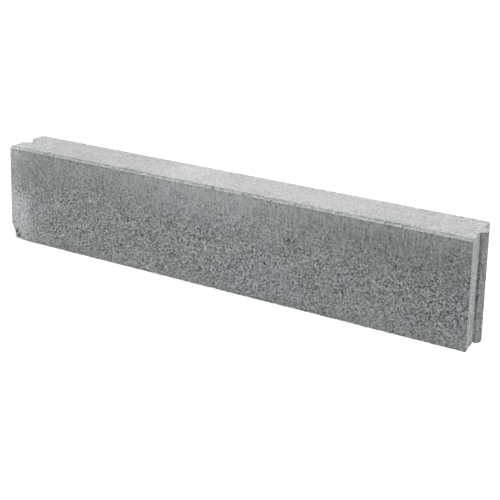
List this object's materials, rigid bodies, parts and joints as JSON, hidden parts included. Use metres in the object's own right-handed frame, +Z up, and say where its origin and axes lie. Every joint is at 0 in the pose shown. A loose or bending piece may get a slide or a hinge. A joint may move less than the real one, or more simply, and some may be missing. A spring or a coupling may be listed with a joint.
{
  "type": "concrete edging kerb",
  "caption": "Straight precast concrete edging block with chamfered upper arrises, a half-round tongue on one end and a matching groove on the other.",
  "frame": {"origin": "centre of the bed face, midway between the two end faces", "axes": "+X along the length, out of the tongue end; -Y out of the front face; +Z up from the bed to the chamfered top"},
  "size_m": [1.012, 0.1, 0.2],
  "materials": {
    "backing_concrete": "open-textured, fully rough",
    "facing_concrete": "fine-grained, dry and matt"
  },
  "bodies": {
    "root": {"core_block": "backing_concrete", "top_facing_layer": "facing_concrete"}
  },
  "joints": []
}
